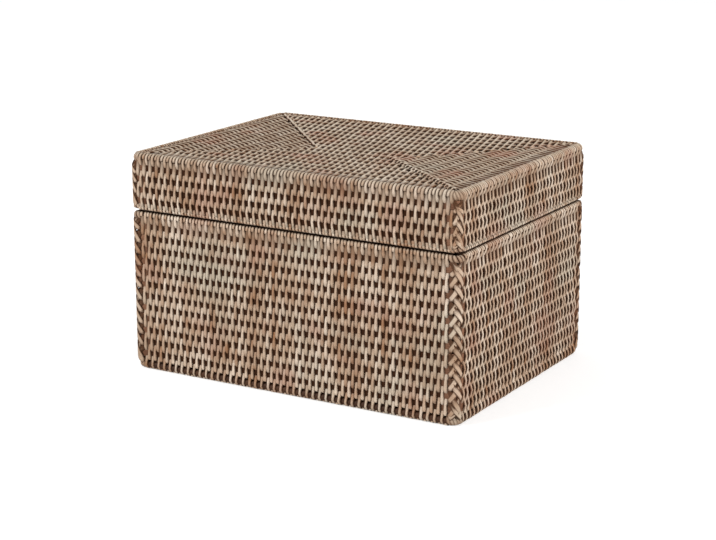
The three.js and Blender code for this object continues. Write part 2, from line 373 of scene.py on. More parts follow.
tail_depth, tail_far, tail_near = 4.6, 4.0, 2.0
foot_centre = 3.8
foot_turn, foot_arc = 2.75, (195, 310, 7)
foot_above, foot_tuck, foot_rest, foot_ease_steps = 2.2, 1.4, 1.0, 8
tip_turn, tip_arc, tip_width = 0.25, (350, 222, 10), 0.95
base_seed = 11
looseness = dict(front=1.0, right=1.3, rear=1.0, left=1.3)
walls = {
    "front": (0, depth / 2, 94),
    "right": (1, length / 2, 69),
    "rear": (2, depth / 2, 94),
    "left": (3, length / 2, 69),
}
DEPTH, LEVEL, SUNK, FULL, ASIDE, GROOVE = range(6)


def course_part(depths, levels, sunk=0.0, full=1.0, aside=0.0, groove=1.0):
    """Places of a strip: depth in from the face, level, sinking, fullness, sway, groove."""
    spread = np.zeros(len(levels))
    columns = [depths, levels, sunk, full, aside, groove]
    return np.column_stack([spread + column for column in columns])


def arc(depth_in, level, turn, start, end, steps, flat=1.0, slant=(0.0, 0.0), full=0.9):
    """Places round a cane, from one angle to another."""
    angles = np.radians(np.linspace(start, end, steps))
    # The half of the turn that lies inwards is painted darker: painted shade.
    return course_part(
        depth_in + turn * np.cos(angles),
        level + turn * flat * np.sin(angles),
        sunk=np.clip(np.cos(angles), 0, 1) * turn_shade,
        full=full,
        aside=np.linspace(*slant, steps),
    )


def ease(start, end, steps):
    """An S from one place to another, without its two ends."""
    share = np.linspace(0, 1, steps + 2)[1:-1]
    swing = share * share * (3 - 2 * share)
    depths = start[0] + (end[0] - start[0]) * swing
    sunk = np.clip((depths - over_depth) / (under_depth - over_depth), 0, 1)
    return course_part(depths, start[1] + (end[1] - start[1]) * share, sunk)


def behind(past):
    """How far a strip is behind a slat, 0 to 1, by its distance past the slat. It dives
    steeply just before the slat and comes out again more slowly after it."""
    diving = 1 / (1 + (np.abs(past) / dive_reach) ** dive_power)
    rising = 1 / (1 + (np.abs(past) / rise_reach) ** rise_power)
    return np.where(past < 0, diving, rising)


def along_the_rows(start, end, rows, pitch, way=1, loose=1.0):
    """A strip's distance, depth, sinking, fullness, sway and groove, as it goes behind the
    slats at rows, which are two pitches apart. way is -1 where it was woven from the end
    to the start, and a loose weave dips longer and arches higher."""
    rows = np.asarray(rows, float)
    stretch = pitch / row_pitch * loose
    stations = way * stretch * np.array(dip_stations)
    places = np.sort((rows[:, None] + stations[None, :]).ravel())
    between = (places > start + run_margin) & (places < end - run_margin)
    places = np.r_[start, places[between], end]
    sunk = np.max([behind(way * (places - row) / stretch) for row in rows], axis=0)
    gone = way * (places - rows[0]) / (2 * pitch) % 1
    full = np.interp(gone, float_places, float_widths)
    swing = strip_lean * (1 - 2 * gone) + strip_swing * np.sin(2 * math.pi * gone)
    low = loose * np.interp(gone, float_places, float_depths) * (1 - sunk)
    depths = over_depth + low + (under_depth - over_depth) * sunk
    groove = np.clip(groove_gain * np.abs(np.cos(2 * math.pi * gone)), groove_least, 1)
    # The strip is painted darker where it sinks behind a slat or lies low in its float:
    # painted shade in the recesses.
    shade_mask = np.maximum(sunk, low_shade * low)
    return places, depths, shade_mask, full, swing * (1 - sunk), groove


def down_the_wall(top, bottom, rows, over_first, loose):
    """Down a wall from one level to another, behind every other slat."""
    hidden = [top - row for row in rows[::-1][1 if over_first else 0 :: 2]]
    pitch = rows[1] - rows[0]
    places, depths, *rest = along_the_rows(0, top - bottom, hidden, pitch, 1, loose)
    return course_part(depths, top - places, *rest)


def base_course(over_first, loose):
    """A base strip's whole run: from inside the rim over it and down the wall. One that
    comes down over the last slat then goes inside the foot cane and out under it, and one
    that comes from behind that slat goes round the cane from outside."""
    rim_level = base_top - rim_drop
    over_last = over_first == (len(base_rows) % 2 == 1)
    tail_levels = [rim_level - tail_far, rim_level - tail_near]
    turned = arc(rim_centre, rim_level, rim_turn, *rim_arc, rim_round, (-rim_sway, 0.0))
    # Over the top of the rim and inside it the strips are painted darker: painted shade under
    # the lid and inside the box.
    turned[:, SUNK] = np.clip((turned[:, DEPTH] - rim_unshaded) / rim_shade_run, 0, 1)
    parts = [course_part([tail_depth] * 2, tail_levels, tail_shade), turned]
    if over_last:
        last = 2 * foot_centre + foot_above
        inside_foot = (foot_centre + foot_turn, 2 * foot_centre - foot_tuck)
        parts += [
            down_the_wall(rim_level, last, base_rows, over_first, loose),
            ease((over_depth, last), inside_foot, foot_ease_steps),
            course_part([inside_foot[0]], [foot_centre + foot_rest], 1.0),
            arc(foot_centre, foot_centre, foot_turn + tip_turn, *tip_arc, full=tip_width),
        ]
    else:
        parts += [
            down_the_wall(rim_level, foot_centre, base_rows, over_first, loose),
            arc(foot_centre, foot_centre, foot_turn, *foot_arc),
        ]
    return np.vstack(parts)


def vertex_places(piece):
    """The places of a piece's vertices, one to a row."""
    places = np.empty(len(piece.data.vertices) * 3)
    piece.data.vertices.foreach_get("co", places)
    return places.reshape(-1, 3)


def sideways(path, out):
    """The directions across a strip that follows the path and faces outwards."""
    side = np.cross(np.gradient(path, axis=0), out)
    return side / np.linalg.norm(side, axis=1)[:, None]


def flat_tube(name, path, side, out, width, thickness, sunk, tone=0.5, groove=1.0):
    """A strip along a path, flat inside and round outside, its ends drawn to a point. side
    and out are its directions across and outwards, and the rest goes into attributes."""
    choose()
    stations = len(path)
    bpy.ops.mesh.primitive_grid_add(
        x_subdivisions=stations - 1, y_subdivisions=strip_sides, size=1
    )
    strip = bpy.context.object
    strip.name = name
    flat = vertex_places(strip)
    station = np.rint((flat[:, 0] + 0.5) * (stations - 1)).astype(int)
    turn = np.rint((flat[:, 1] + 0.5) * strip_sides) % strip_sides
    turn = turn / (strip_sides - 1) * math.pi
    ends_closed = np.ones(stations)
    ends_closed[[0, -1]] = 0
    width, thickness = width * ends_closed, thickness * ends_closed
    across = np.sign(np.cos(turn)) * np.abs(np.cos(turn)) ** strip_squareness
    crown = np.abs(np.sin(turn)) ** strip_squareness - strip_seat
    placed = (
        path[station]
        + side[station] * (width[station] / 2 * across)[:, None]
        + out[station] * (thickness[station] * crown)[:, None]
    )
    strip.data.vertices.foreach_set("co", placed.ravel())
    run = np.r_[0, np.cumsum(np.linalg.norm(np.diff(path, axis=0), axis=1))]
    place = strip.data.attributes.new("strip_place", "FLOAT_VECTOR", "POINT")
    place.data.foreach_set(
        "vector", np.column_stack([run[station], across, sunk[station]]).ravel()
    )
    mark(strip, "strip_tone", np.full(len(station), tone))
    mark(strip, "strip_groove", (np.zeros(stations) + groove)[station])
    weld(strip_weld)
    return strip


def strip_along(name, course):
    """One strip of the weave, flat in the plane of its course."""
    steps = np.gradient(course[:, [DEPTH, LEVEL]], axis=0)
    steps /= np.linalg.norm(steps, axis=1)[:, None]
    out = np.column_stack([np.zeros(len(course)), steps[:, 1], -steps[:, 0]])
    side = np.tile([1.0, 0, 0], (len(course), 1))
    path = course[:, [ASIDE, DEPTH, LEVEL]]
    width = strip_width * course[:, FULL]
    sunk, groove = course[:, SUNK], course[:, GROOVE]
    return flat_tube(name, path, side, out, width, strip_thickness, sunk, groove=groove)


def joined(name, pieces):
    """The pieces as one, under that name."""
    choose(*pieces)
    bpy.ops.object.join()
    pieces[0].name = name
    return pieces[0]


def side_by_side(name, courses, count):
    """Two strips laid alternately, that many in all, centred on the wall."""
    left = -(count - 1) / 2 * strip_pitch
    laid = []
    for i, course in enumerate(courses):
        strip = strip_along(f"{name}_{i}", course)
        strip.data.transform(Matrix.Translation((left + i * strip_pitch, 0, 0)))
        each = len(strip.data.vertices)
        modifier(
            strip,
            "ARRAY",
            count=(count + 1 - i) // 2,
            use_relative_offset=False,
            use_constant_offset=True,
            constant_offset_displace=(2 * strip_pitch, 0, 0),
        )
        numbers = np.arange(len(strip.data.vertices)) // each * 2.0 + i
        mark(strip, "strip_number", numbers)
        laid.append(strip)
    return joined(name, laid)


def settle(strips, count, seed):
    """Each strip gets its own width, sway and tone, as hand-split cane has."""
    draw = np.random.default_rng(seed)
    wide = 1 + draw.normal(0, width_spread, (count, beats))
    sway = draw.normal(0, sway_spread, (count, beats))
    sway = sway + draw.normal(0, lean_spread, (count, 1))
    proud = draw.normal(0, proud_spread, (count, beats))
    tone = draw.random(count)
    places = vertex_places(strips)
    along = np.empty(len(places) * 3)
    strips.data.attributes["strip_place"].data.foreach_get("vector", along)
    run, _, sunk = along.reshape(-1, 3).T
    column = np.empty(len(places))
    strips.data.attributes["strip_number"].data.foreach_get("value", column)
    column = np.rint(column).astype(int)
    beat = np.clip(run / beat_length, 0, beats - 1.01)
    first = beat.astype(int)
    share = beat - first

    def own(table):
        return table[column, first] * (1 - share) + table[column, first + 1] * share

    centre = (column - (count - 1) / 2) * strip_pitch
    places[:, 0] = centre + (places[:, 0] - centre) * own(wide) + own(sway) * (1 - sunk)
    places[:, 1] -= own(proud) * (1 - sunk)
    strips.data.vertices.foreach_set("co", places.ravel())
    strips.data.attributes["strip_tone"].data.foreach_set("value", tone[column])


def stand_on_wall(strips, quarter, half):
    """From the flat layout, in millimetres, to its wall, in metres."""
    strips.data.transform(
        Matrix.Rotation(quarter * math.pi / 2, 4, "Z")
        @ Matrix.Scale(MM, 4)
        @ Matrix.Translation((0, -half, 0))
    )


strip_colours = {
    "Pale": rgb(224, 206, 187),
    "Tan": rgb(188, 162, 138),
    "Brown": rgb(150, 108, 76),
    "Grey": rgb(190, 181, 162),
    "Mauve": rgb(176, 140, 120),
    # This dark brown is used both for dirt and for the painted shade of recesses and grooves.
    "ShadeAndDirt": rgb(68, 39, 19),
    "Rust": rgb(108, 60, 36),
}
shade_and_grime_most = 0.94
fibre_stretch, fibre_across, tones_apart = 0.045, 3.2, 90.0
fibre_bump = {"Strength": 0.4, "Distance": 0.0003}
strip_polish, strip_shine = (0.42, 0.62), 0.15


def split_cane_group():
    """Split cane: a tone of its own for each strip, patches that neighbours share, greyer
    where it faces up, fibres along it, and painted shade with some dirt where it dips and at
    its edges."""
    tree = bpy.data.node_groups.new("split_cane", "ShaderNodeTree")
    sockets = [(name, "INPUT", "Color") for name in strip_colours]
    sockets += [("Color", "OUTPUT", "Color")]
    sockets += [(name, "OUTPUT", "Float") for name in ("Fibre", "ShadeAndGrime")]
    for name, way, kind in sockets:
        tree.interface.new_socket(name, in_out=way, socket_type="NodeSocket" + kind)
    given = tree.nodes.new("NodeGroupInput").outputs
    strip = marked(tree, "strip_place", "Vector")
    along, across, sunk = node(tree, "SeparateXYZ", {0: strip}).outputs
    tone = marked(tree, "strip_tone")
    where = node(tree, "TexCoord").outputs

    def patches(scale, shift):
        moved = node(tree, "Mapping", {"Vector": where["Object"], "Location": shift})
        return noise(tree, moved.outputs[0], scale)

    lengthwise = maths(tree, "MULTIPLY", along, fibre_stretch)
    own = maths(tree, "MULTIPLY", tone, tones_apart)
    slow_at = node(tree, "CombineXYZ", {0: lengthwise, 1: own}).outputs[0]
    weights = (
        (noise(tree, where["Object"], scale=26.0), 0.75),
        (noise(tree, slow_at, scale=1.6), 0.7),
        (tone, 0.3),
    )
    patch, slow, single = [maths(tree, "MULTIPLY", *weighed) for weighed in weights]
    lightness = maths(tree, "ADD", patch, maths(tree, "ADD", slow, single))
    pick = ranged(tree, lightness, 0.55, 1.2)
    cane = blend(tree, ranged(tree, pick, 0.0, 0.5), given["Brown"], given["Tan"])
    cane = blend(tree, ranged(tree, pick, 0.5, 1.0), cane, given["Pale"])
    # Faces that look up are mixed towards grey: a painted reflection of the sky.
    upward_face = node(tree, "SeparateXYZ", {0: where["Normal"]}).outputs[2]
    sky_reflection = ranged(tree, upward_face, 0.4, 0.95, to_high=0.5)
    greyed = ranged(tree, patches(19.0, shift=(3.1, 1.7, 5.3)), 0.52, 0.7, to_high=0.7)
    greyed = maths(tree, "MAXIMUM", greyed, sky_reflection)
    cane = blend(tree, greyed, cane, given["Grey"])
    blushed = ranged(tree, patches(24.0, shift=(7.9, 4.4, 1.2)), 0.54, 0.7, to_high=0.65)
    cane = blend(tree, blushed, cane, given["Mauve"])
    fibre_side = maths(tree, "MULTIPLY", across, fibre_across)
    fibre_at = node(tree, "CombineXYZ", {0: lengthwise, 1: fibre_side, 2: own}).outputs[0]
    fibre = noise(tree, fibre_at, scale=2.4, detail=5.0, roughness=0.65)
    fibred = ranged(tree, fibre, 0.3, 0.7, 0.66, 1.2)
    fibred = node(tree, "CombineColor", {i: fibred for i in range(3)}).outputs[0]
    cane = blend(tree, 1.0, cane, fibred, "MULTIPLY")
    # Darker where the strip dips behind a slat and at its edges along the grooves: painted
    # shade in the recesses, with some dirt.
    edge = maths(tree, "ABSOLUTE", across, 0.0)
    dipped = maths(tree, "MULTIPLY", sunk, ranged(tree, edge, 0.0, 1.0, 0.7, 2.0))
    dipped = ranged(tree, dipped, 0.12, 0.5, to_high=shade_and_grime_most)
    beside = ranged(tree, edge, 0.5, 0.9, to_high=shade_and_grime_most)
    beside = maths(tree, "MULTIPLY", beside, marked(tree, "strip_groove"))
    shade_and_grime = maths(tree, "MAXIMUM", dipped, beside)
    cane = blend(tree, shade_and_grime, cane, blend(tree, blushed, given["ShadeAndDirt"], given["Rust"]))
    put_out = tree.nodes.new("NodeGroupOutput")
    feed(tree, put_out, {"Color": cane, "Fibre": fibre, "ShadeAndGrime": shade_and_grime})
    return tree


strip_finish, tree, shader = new_material("split_strips")
split_cane = node(tree, "Group", strip_colours, node_tree=split_cane_group()).outputs
polish = ranged(tree, split_cane["Fibre"], 0.0, 1.0, *strip_polish)
dull = maths(tree, "MULTIPLY", split_cane["ShadeAndGrime"], shade_and_grime_roughness)
rough = maths(tree, "MAXIMUM", polish, dull)
bump = node(tree, "Bump", {"Height": split_cane["Fibre"], **fibre_bump}).outputs[0]
feed(tree, shader, {"Base Color": split_cane["Color"], "Roughness": rough})
feed(tree, shader, {"Normal": bump, "Specular IOR Level": strip_shine})
for wall, (quarter, half, count) in walls.items():
    courses = [base_course(over_first, looseness[wall]) for over_first in (True, False)]
    strips = side_by_side(f"base_{wall}_strips", courses, count)
    settle(strips, count, base_seed + quarter)
    stand_on_wall(strips, quarter, half)
    strips.data.materials.append(strip_finish)
    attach(strips, "base")
    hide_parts(f"base_{wall}_weave")

# The floor is the same weave laid flat: slats from left to right, and strips from front to
# rear over and under them, held at the ends by the foot cane.
floor_low, floor_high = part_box("base_floor_weave")
floor_middle = (floor_low.z + floor_high.z) / 2 / MM
floor_count = 96
floor_end = 5.2
floor_slat_size = Vector((287.0, 7.6, 2.2))
floor_rows = 15
floor_pitch = 13.8
floor_places = (np.arange(floor_rows) - (floor_rows - 1) / 2) * floor_pitch
floor_seed = 21
flat_slat_round = 0.4


def floor_course(over_first):
    """A floor strip from front to rear, behind every other slat."""
    first = depth / 2 + floor_places[0]
    hidden = first + floor_pitch * np.arange(0 if over_first else 1, floor_rows, 2)
    places, depths, *rest = along_the_rows(floor_end, depth - floor_end, hidden, floor_pitch)
    middle = (under_depth + over_depth) / 2
    return course_part(places, floor_middle + middle - depths, *rest)


def flat_slat(name, centre, size):
    """A straight slat, its long edges rounded."""
    choose()
    bpy.ops.mesh.primitive_cube_add(size=1, location=centre)
    slat = bpy.context.object
    slat.name = name
    switch_to("EDIT")
    bpy.ops.transform.resize(value=size)
    switch_to("OBJECT")
    modifier(slat, "BEVEL", width=min(size) * flat_slat_round, segments=2)
    place_in_mesh(slat)
    # Marked covered all over, so the whole slat gets the painted shade under the weave.
    mark(slat, "covered", np.ones(len(slat.data.vertices)))
    bpy.ops.object.shade_smooth_by_angle(angle=smooth_angle)
    return slat


floor_strips = side_by_side(
    "base_floor_strips", [floor_course(True), floor_course(False)], floor_count
)
settle(floor_strips, floor_count, floor_seed)
stand_on_wall(floor_strips, 0, depth / 2)
floor_strips.data.materials.append(strip_finish)
floor_slats = [
    flat_slat(f"floor_slat_{i}", (0, row * MM, floor_middle * MM), floor_slat_size * MM)
    for i, row in enumerate(floor_places)
]
floor_slats = joined("base_floor_slats", floor_slats)
floor_slats.data.materials.append(slat_finish)
for piece, slot in ((floor_strips, "strips"), (floor_slats, "slats")):
    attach(piece, "base")
    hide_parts("base_floor_weave")

# The lid's strips start inside its rim, go up the wall over and under four slats, turn over
# the edge cane and run in across the top to the hips, where they meet the strips of the
# next side on a mitre. Those in the middle run on until they meet those of the far side.
lid_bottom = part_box("lid_rim_cane")[0].z / MM
lid_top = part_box("lid_edge_cane")[1].z / MM
lid_rows = slat_levels("lid")
lid_extra_strips = 2
lid_seed = 31
lid_looseness = dict(front=1.08, right=1.3, rear=1.08, left=1.3)
lid_rim_arc = (180, 360, 8)
rim_slant, slant_run, under_sway = 1.2, 4.0, 2.0
edge_centre = 4.0
edge_turn, edge_arc, edge_width = 3.4, (80, 170, 7), 0.9
edge_shade = dict(front=0.19, right=0.12, rear=0.19, left=0.12)
top_row_pitch = 12.4
top_row_first = 13.8
top_sink, sink_run = 0.2, 6.0
top_sag, sag_from = 2.2, 9.0
top_loose = dict(front=1.15, right=1.62, rear=1.22, left=1.66)
top_shade = dict(front=0.07, right=0.15, rear=0.1, left=0.17)
left_apex, right_apex = (-39.0, -6.0), (37.4, -16.0)
# way of weaving, first row, inner end, apexes, rows where the far side meets, gaps at hips
lid_walls = {
    "front": (-1, 0, 114.5, (left_apex, right_apex), (8, 7), (0.4, 2.6)),
    "right": (-1, 0, 114.5, (right_apex, right_apex), None, (2.6, 0.4)),
    "rear": (1, 1, 131.0, (right_apex, left_apex), (9, 8), (0.4, 0.6)),
    "left": (1, 0, 114.5, (left_apex, left_apex), None, (2.4, 0.4)),
}


def top_row(row):
    """How far in from its edge a slat of the top lies."""
    return top_row_first + top_row_pitch * row


def lid_course(dips_first, way, inner, wall):
    """From that far in on the top to the edge, down the wall and round the rim."""
    count = int((inner - top_row_first) / top_row_pitch) + 1
    hidden = [inner - top_row(i) for i in range(count) if (i % 2 == 0) == dips_first]
    end = inner - edge_centre
    places, depths, *rest = along_the_rows(
        0, end, hidden, top_row_pitch, way, top_loose[wall]
    )
    sink = top_sink * np.clip((end - places) / sink_run, 0, 1)
    top = course_part(inner - places, lid_top - depths - sink, *rest)
    # Every strip of the top is painted a little darker, more on some sides: painted shade in
    # its grooves.
    top[:, SUNK] = np.maximum(top[:, SUNK], top_shade[wall])
    edge_level = lid_top - edge_centre
    edge = arc(edge_centre, edge_level, edge_turn, *edge_arc, full=edge_width)
    # Round the edge cane the strips are painted darker, the front and rear most: painted shade
    # on the edge roll.
    edge[:, SUNK] = edge_shade[wall]
    rim_level = lid_bottom + rim_centre
    down = down_the_wall(edge_level, rim_level, lid_rows, dips_first, lid_looseness[wall])
    near_rim = np.clip((rim_level + slant_run - down[:, LEVEL]) / slant_run, 0, 1)
    down[:, ASIDE] += rim_slant * near_rim
    under = (rim_slant, rim_slant + under_sway)
    rim = arc(rim_centre, rim_level, rim_turn, *lid_rim_arc, rim_flat, under)
    tail_levels = [rim_level + tail_near, rim_level + tail_far]
    # The ends inside the rim are painted darker: painted shade inside the lid.
    tail = course_part([tail_depth] * 2, tail_levels, tail_shade)
    return np.vstack([top, edge, down, rim, tail])


def half_along(half):
    """Half the length of a wall that stands that far from the middle."""
    return length / 2 if half < length / 2 else depth / 2


def on_wall(point, quarter, half):
    """A point of the top as its place along a wall and in from it."""
    turn = Matrix.Rotation(-quarter * math.pi / 2, 2)
    along, inward = turn @ Vector(point)
    return along, inward + half


def cut_strips(strips, chosen, place, outward):
    """The chosen strips, by their number along the wall, end on that plane."""
    outward = Vector(outward).normalized()
    choose(strips)
    switch_to("EDIT")
    bpy.ops.mesh.select_mode(type="FACE")
    bpy.ops.mesh.select_all(action="DESELECT")
    switch_to("OBJECT")
    numbers = strips.data.attributes["strip_number"].data
    for face in strips.data.polygons:
        face.select = chosen(round(numbers[face.vertices[0]].value))
    switch_to("EDIT")
    bpy.ops.mesh.bisect(plane_co=place, plane_no=outward, use_fill=True, clear_outer=True)
    switch_to("OBJECT")


def cut_at_hips(strips, count, side_half, apexes, joins, gaps):
    """The strips beside the two apexes end on the hips that run to them from the corners.
    Those between the apexes end behind a slat, where those of the far side meet them."""
    (left, left_in), (right, right_in) = apexes
    middle = (count - 1) / 2
    first, last = (math.ceil(place / strip_pitch + middle) for place in (left, right))
    start, end = (gaps[0] - side_half, 0, 0), (side_half - gaps[1], 0, 0)
    cut_strips(strips, lambda i: i < first, start, (-left_in, left + side_half, 0))
    cut_strips(strips, lambda i: i >= last, end, (right_in, side_half - right, 0))
    for odd, row in enumerate(joins or ()):
        cut_strips(
            strips,
            lambda i: first <= i < last and i % 2 == odd,
            (0, top_row(row), 0),
            (0, 1, 0),
        )


def bowl(x, y):
    """How much of the sag a place on the top has, none at the edges."""
    return np.clip(1 - (2 * x / length) ** 2, 0, 1) * np.clip(1 - (2 * y / depth) ** 2, 0, 1)


def sag(piece):
    """A piece of the top sinks with it."""
    places = vertex_places(piece)
    high = places[:, 2] > (lid_top - sag_from) * MM
    drop = top_sag * MM * bowl(places[:, 0] / MM, places[:, 1] / MM)
    places[:, 2] -= np.where(high, drop, 0)
    piece.data.vertices.foreach_set("co", places.ravel())


for wall, (quarter, half, count) in walls.items():
    way, odd, inner, apexes, joins, gaps = lid_walls[wall]
    count += lid_extra_strips
    courses = [lid_course(dips, way, inner, wall) for dips in (odd == 0, odd == 1)]
    strips = side_by_side(f"lid_{wall}_strips", courses, count)
    ends = [on_wall(apex, quarter, half) for apex in apexes]
    cut_at_hips(strips, count, half_along(half), ends, joins, gaps)
    settle(strips, count, lid_seed + quarter)
    stand_on_wall(strips, quarter, half)
    sag(strips)
    strips.data.materials.append(strip_finish)
    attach(strips, "lid")
    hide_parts(f"lid_{wall}_weave")

# The slats of the top lie flat, side by side with the edge they belong to, and end at the
# hips, so that they frame the top in rectangles, one inside the other.
top_slat_size = (8.0, 2.2)
top_slat_counts = dict(front=8, right=8, rear=9, left=8)
top_slat_gap = 0.7
top_slat_depth = 2.7
top_slat_sag = 0.9
top_slats = []
for wall, (quarter, half, _) in walls.items():
    *_, apexes, _, _ = lid_walls[wall]
    side_half = half_along(half)
    (left, left_in), (right, right_in) = (on_wall(apex, quarter, half) for apex in apexes)
    for i in range(top_slat_counts[wall]):
        inward = top_row(i)
        low = -side_half + inward * (left + side_half) / left_in + top_slat_gap
        high = side_half - inward * (side_half - right) / right_in - top_slat_gap
        turn = Matrix.Rotation(quarter * math.pi / 2, 4, "Z")
        centre = turn @ Vector(((low + high) / 2, inward - half, 0))
        sunk = top_sag * top_slat_sag * bowl(centre.x, centre.y)
        centre.z = lid_top - top_sink - top_slat_depth - sunk
        size = Vector((high - low, *top_slat_size)) * MM
        slat = flat_slat(f"top_slat_{wall}_{i}", (0, 0, 0), size)
        slat.data.transform(Matrix.Translation(centre * MM) @ turn)
        top_slats.append(slat)
top_slats = joined("lid_top_slats", top_slats)
top_slats.data.materials.append(slat_finish)
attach(top_slats, "lid")
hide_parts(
    "lid_top_middle_weave", "lid_top_left_weave", "lid_top_right_weave"
)

# Along the rear left hip runs one pale strip, beside a groove, and along the front right
# one a strip is wound round a straight one. At the other two the strips of both sides meet.
# Under every hip lies a wide flat cane, stained brown, which backs the ends of the strips.
hip_start, hip_beyond = 11.0, 0.6
hip_depth = 0.9
hip_level = lid_top - top_sink - hip_depth
hip_steps = 40
hip_rise, hip_rise_beat = 0.4, 1.9
hip_sway, hip_sway_beat = 0.35, 1.3
hip_tuck = 1.6
hip_tone, wound_tone = 0.8, 0.9
wound_rise, wound_thickness, wound_steps = 0.3, 0.9, 8
hip_cane = dict(aside=0, level=hip_level - 3.8, width=9.0, thickness=1.6, beyond=16.0)
front_right_strip = dict(aside=1.1, level=hip_level + 1.0, width=2.5, thickness=1.5)
rear_left_strip = dict(aside=-0.9, level=hip_level + 0.3, width=2.6, thickness=1.5)
corners = {
    "front_left": (0, -length / 2, -depth / 2),
    "front_right": (1, length / 2, -depth / 2),
    "rear_right": (2, length / 2, depth / 2),
    "rear_left": (3, -length / 2, depth / 2),
}
hip_apexes = dict(zip(corners, (left_apex, right_apex, right_apex, left_apex)))
upward = np.array([0.0, 0.0, 1.0])


def to_corner(piece, corner):
    """From a corner's own layout, in millimetres, with both its sides running inwards from
    it, to its place on the box."""
    quarter, x, y = corners[corner]
    piece.data.transform(
        Matrix.Translation((x * MM, y * MM, 0))
        @ Matrix.Rotation(quarter * math.pi / 2, 4, "Z")
        @ Matrix.Scale(MM, 4)
    )


def hip_line(corner, steps, aside, level, beyond=hip_beyond):
    """Places along a hip from the corner inwards, its direction beside and its length."""
    quarter, x, y = corners[corner]
    apex = Vector(hip_apexes[corner]) - Vector((x, y))
    ahead = Matrix.Rotation(-quarter * math.pi / 2, 2) @ apex
    along = np.array([*ahead, 0.0]) / ahead.length
    beside = np.array([along[1], -along[0], 0.0])
    places = np.linspace(hip_start, ahead.length + beyond, steps)[:, None] * along
    places += aside * beside
    places[:, 2] = level
    return places, beside, ahead.length - hip_start


def straight_hip(corner, kind, aside, level, width, thickness, beyond=hip_beyond):
    """A strip laid along the hip, not quite straight, with its ends turned down."""
    path, beside, _ = hip_line(corner, hip_steps, aside, level, beyond)
    beat = np.arange(hip_steps)
    path[:, 2] += hip_rise * np.sin(beat * hip_rise_beat)
    path += hip_sway * np.sin(beat * hip_sway_beat)[:, None] * beside
    path[0, 2] = path[1, 2] - hip_tuck
    path[-1, 2] = path[-2, 2] - hip_tuck
    across = np.tile(beside, (hip_steps, 1))
    up = np.tile(upward, (hip_steps, 1))
    name = f"lid_hip_{corner}_{kind}"
    sunk = np.zeros(hip_steps)
    return flat_tube(name, path, across, up, width, thickness, sunk, hip_tone)


def wound_hip(corner, kind, turn, pitch, width):
    """A strip wound round the line of the hip."""
    level = hip_level + wound_rise
    long = hip_line(corner, 2, 0.0, level)[2]
    steps = int(long / pitch * wound_steps)
    angles = np.linspace(0, long / pitch * 2 * math.pi, steps)
    path, beside, _ = hip_line(corner, steps, 0.0, level)
    out = np.cos(angles)[:, None] * beside + np.sin(angles)[:, None] * upward
    path = path + turn * out
    name = f"lid_hip_{corner}_{kind}"
    side = sideways(path, out)
    sunk = np.zeros(steps)
    return flat_tube(name, path, side, out, width, wound_thickness, sunk, wound_tone)


hip_pieces = {corner: [straight_hip(corner, "cane", **hip_cane)] for corner in corners}
hip_pieces["front_right"] += [
    straight_hip("front_right", "pale_strip", **front_right_strip),
    wound_hip("front_right", "strip", turn=1.5, pitch=6.4, width=2.4),
]
hip_pieces["rear_left"].append(straight_hip("rear_left", "strip", **rear_left_strip))
for corner, pieces in hip_pieces.items():
    for piece in pieces:
        to_corner(piece, corner)
        sag(piece)
        pale = piece.name.endswith("strip")
        piece.data.materials.append(strip_finish if pale else slat_finish)
        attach(piece, "lid")
        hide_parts(f"lid_hip_cane_{corner}")

# At each corner, strips of pale split cane lace the slats together in a plait: from each
# face one rises round the corner over two slats to every row. Its lower half lies on top,
# its upper half under the ones from the other face, and both ends are tucked in.
lace_bend, lace_bend_steps, lace_face_steps = 4.6, 8, 5
lace_width = {"base": 4.2, "lid": 3.4}
lace_span = 2
lace_thickness = 0.75
lace_reach = {"base": (9.6, 5.6), "lid": (7.0, 5.0)}
lace_depths = (
    ((0, 0.07, 0.15, 0.62, 0.76, 0.86, 0.93, 1), (4.2, 1.9, 0.5, 0.45, 1.2, 1.3, 2.2, 4.2)),
    ((0, 0.07, 0.15, 0.26, 0.4, 0.85, 0.93, 1), (4.2, 1.9, 0.5, 0.5, 1.25, 1.25, 2.2, 4.2)),
)
lace_level_stops = (0, 0.07, 0.93, 1)
lace_shade = ((0, 0.12, 0.2, 0.45, 0.6, 1), (1, 0.4, 0, 0, 0.25, 1))
lace_spread = 0.8
lace_tones = (0.0, 0.6)
lace_seed = 51
foot_overlap, rim_overlap = 2, 1


def lace_strand(name, body, start, end, hand, tone):
    """One strand from a level on one face to a level on the other."""
    angles = np.radians(np.linspace(-90, -180, lace_bend_steps))
    turned = np.column_stack([np.cos(angles), np.sin(angles)])
    first = [(x, 0.0) for x in np.linspace(*lace_reach[body], lace_face_steps)]
    plan = np.vstack([first, lace_bend * (1 + turned), [(b, a) for a, b in first[::-1]]])
    faces = [[(0, -1)] * lace_face_steps, turned, [(-1, 0)] * lace_face_steps]
    out = np.column_stack([np.vstack(faces), np.zeros(len(plan))])
    gone = np.r_[0, np.cumsum(np.linalg.norm(np.diff(plan, axis=0), axis=1))]
    gone /= gone[-1]
    levels = np.interp(gone, lace_level_stops, (start, start, end, end))
    path = np.column_stack([plan, levels])
    path -= out * np.interp(gone, *lace_depths[hand])[:, None]
    if hand:
        path = path[:, [1, 0, 2]]
        out = out[:, [1, 0, 2]]
    side = sideways(path, out)
    # The strand is painted darker towards its tucked ends and where it passes under: painted
    # shade.
    sunk = np.interp(gone, *lace_shade)
    return flat_tube(name, path, side, out, lace_width[body], lace_thickness, sunk, tone)


